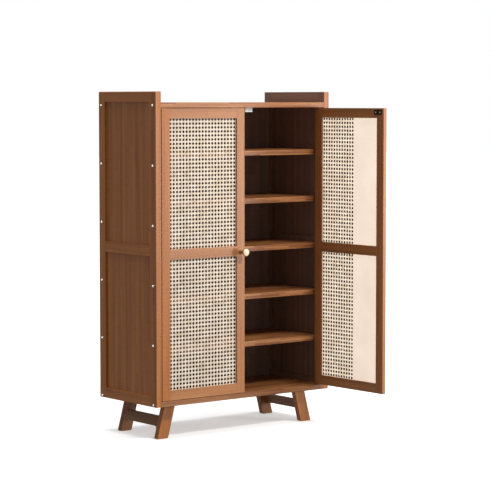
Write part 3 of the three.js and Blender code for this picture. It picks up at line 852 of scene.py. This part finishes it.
def socket_head(radius, proud, seat, socket_radius, socket_depth):
    """A low domed head with a six-sided socket, its seat below z = 0 and its crown above."""
    sides = HEAD_SIDES
    round_rings = [
        (0.6 * radius, -seat),
        (radius, -seat),
        (radius, 0.25 * proud),
        (0.86 * radius, 0.8 * proud),
        (1.25 * socket_radius, proud),
    ]
    socket_rings = [(socket_radius, proud - SOCKET_LIP), (socket_radius, proud - socket_depth)]
    rings = round_rings + socket_rings
    vertices = [(0, 0, -seat)]
    for number, (ring, height) in enumerate(rings):
        for k in range(sides):
            angle = 2 * math.pi * k / sides
            reach = ring
            if number >= len(round_rings):
                from_flat = angle % (math.pi / 3) - math.pi / 6
                reach = ring * math.cos(math.pi / 6) / math.cos(from_flat)
            vertices.append((reach * math.cos(angle), reach * math.sin(angle), height))
    vertices.append((0, 0, proud - socket_depth))
    faces = []
    last = len(vertices) - 1
    for k in range(sides):
        after = (k + 1) % sides
        faces.append((0, 1 + after, 1 + k))
        for ring in range(len(rings) - 1):
            low_ring, high_ring = 1 + ring * sides, 1 + (ring + 1) * sides
            faces.append((low_ring + k, low_ring + after, high_ring + after, high_ring + k))
        top = 1 + (len(rings) - 1) * sides
        faces.append((top + k, top + after, last))
    return vertices, faces


left_bolts = []
for side, direction in (("left", -1), ("right", 1)):
    stile_low, stile_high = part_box(f"{side}_side_front_stile")
    rear_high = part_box(f"{side}_side_rear_stile")[1]
    outer_x = stile_low.x if direction < 0 else stile_high.x
    top_z = stile_high.z - BOLT_FROM_TOP
    bottom_z = stile_low.z + BOLT_FROM_BOTTOM
    columns = {"front": stile_low.y + BOLT_FROM_FRONT, "rear": rear_high.y - BOLT_FROM_BACK}
    for column, y in columns.items():
        for number in range(BOLTS_IN_COLUMN):
            z = top_z + (bottom_z - top_z) * number / (BOLTS_IN_COLUMN - 1)
            head = socket_head(BOLT_RADIUS, BOLT_PROUD, BOLT_SEAT, BOLT_SOCKET_RADIUS, BOLT_SOCKET_DEPTH)
            placed = moved(*head, outward((outer_x, y, z), (direction, 0, 0)))
            name = f"{side}_{column}_bolt_{number + 1}"
            bolt = make_piece(name, *placed, bolt_steel, "cabinet", "steel")
            if side == "left":
                left_bolts.append(bolt)

strike_low, strike_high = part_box("left_door_strike")
strike_centre = (strike_low + strike_high) / 2
for side in ("left", "right"):
    for number, shift in ((1, -SCREW_SPACING / 2), (2, SCREW_SPACING / 2)):
        head = socket_head(
            SCREW_RADIUS, SCREW_PROUD, SCREW_SEAT, SCREW_SOCKET_RADIUS, SCREW_SOCKET_DEPTH)
        place = Vector((strike_centre.x + shift, strike_high.y, strike_centre.z))
        placed = moved(*head, door_matrix(side) @ outward(place, (0, 1, 0)))
        make_piece(f"{side}_door_strike_screw_{number}", *placed, bolt_steel, f"{side}_door", "steel")


# ---------------------------------------------------------------- lamps and stage

def aim(thing, place, target):
    thing.location = place
    thing.rotation_euler = (Vector(target) - Vector(place)).to_track_quat("-Z", "Y").to_euler()


def softbox(name, place, target, size, power):
    """A rectangular area lamp that points at a target."""
    data = bpy.data.lights.new(name, "AREA")
    data.shape = "RECTANGLE"
    data.size, data.size_y = size
    data.energy = power
    lamp = bpy.data.objects.new(name, data)
    bpy.context.scene.collection.objects.link(lamp)
    aim(lamp, place, target)
    return lamp


def light_only(lamp, pieces):
    """Lets a lamp light nothing but some pieces."""
    lit = bpy.data.collections.new(f"{lamp.name}_pieces")
    for piece in pieces:
        lit.objects.link(piece)
    lamp.light_linking.receiver_collection = lit


MIDDLE = (0, 0, 0.7)
softbox("front_key", (0.6, -2.8, 3.2), MIDDLE, (0.5, 0.5), 84)
softbox("right_key", (3.2, -3.6, 0.75), MIDDLE, (1.6, 1.0), 52)
right_soft = softbox("right_soft", (3.2, -3.6, 1.0), MIDDLE, (0.7, 0.7), 50)
right_soft.visible_glossy = False
open_door_middle = (0.36, -0.37, 0.7)
panel_light = softbox("panel_light", (-4.0, -0.9, 1.2), open_door_middle, (0.8, 1.2), 208)
light_only(panel_light, right_panels)
left_side_middle = (-0.4, 0, 0.7)
bolt_light = softbox("bolt_light", (-3.2, -0.6, 1.4), left_side_middle, (1.2, 1.2), 150)
light_only(bolt_light, left_bolts)

overhead_data = bpy.data.lights.new("overhead", "SUN")
overhead_data.energy = 2.0
overhead_data.angle = math.radians(40)
overhead = bpy.data.objects.new("overhead", overhead_data)
bpy.context.scene.collection.objects.link(overhead)

FLOOR_REACH = 30.0
FLOOR_GLOW = 0.45
floor_corners = [(x * FLOOR_REACH, y * FLOOR_REACH, 0) for x, y in ((-1, -1), (1, -1), (1, 1), (-1, 1))]
floor_mesh = bpy.data.meshes.new("floor")
floor_mesh.from_pydata(floor_corners, [], [(0, 1, 2, 3)])
floor = bpy.data.objects.new("floor", floor_mesh)
bpy.context.scene.collection.objects.link(floor)
floor_graph = Graph("floor_paint")
floor_place = floor_graph.add("ShaderNodeTexCoord").outputs["Object"]
floor_tone = floor_graph.noise(floor_place, 3.0)
floor_color = floor_graph.ramp(floor_tone, [(0.3, (0.93, 0.93, 0.93, 1)), (0.7, (0.95, 0.95, 0.95, 1))])
floor_shader = floor_graph.add("ShaderNodeBsdfPrincipled", {
    "Base Color": floor_color,
    "Roughness": 0.9,
    "Emission Color": (1.0, 1.0, 1.0, 1.0),
    "Emission Strength": FLOOR_GLOW,
})
floor_mesh.materials.append(floor_graph.finish(floor_shader.outputs[0]))
floor.visible_diffuse = False
floor.visible_glossy = False
floor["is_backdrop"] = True

world = bpy.data.worlds.new("studio")
bpy.context.scene.world = world
world.use_nodes = True
tree = world.node_tree
tree.nodes.clear()
AMBIENT = 0.26
sky = tree.nodes.new("ShaderNodeBackground")
sky.inputs["Color"].default_value = (0.96, 0.98, 1.0, 1.0)
sky.inputs["Strength"].default_value = AMBIENT
backdrop = tree.nodes.new("ShaderNodeBackground")
backdrop.inputs["Color"].default_value = (1.0, 1.0, 1.0, 1.0)
rays = tree.nodes.new("ShaderNodeLightPath")
either = tree.nodes.new("ShaderNodeMixShader")
world_output = tree.nodes.new("ShaderNodeOutputWorld")
tree.links.new(rays.outputs["Is Camera Ray"], either.inputs[0])
tree.links.new(sky.outputs[0], either.inputs[1])
tree.links.new(backdrop.outputs[0], either.inputs[2])
tree.links.new(either.outputs[0], world_output.inputs[0])

bpy.context.scene.view_settings.view_transform = "Standard"

camera_data = bpy.data.cameras.new("camera")
camera_data.lens = CAMERA_LENS
camera_data.clip_end = 100
camera = bpy.data.objects.new("camera", camera_data)
camera.location = CAMERA_PLACE
camera.rotation_euler = (math.radians(90 - CAMERA_DIP), 0, math.radians(CAMERA_TURN))
bpy.context.scene.collection.objects.link(camera)
bpy.context.scene.camera = camera

low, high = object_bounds()
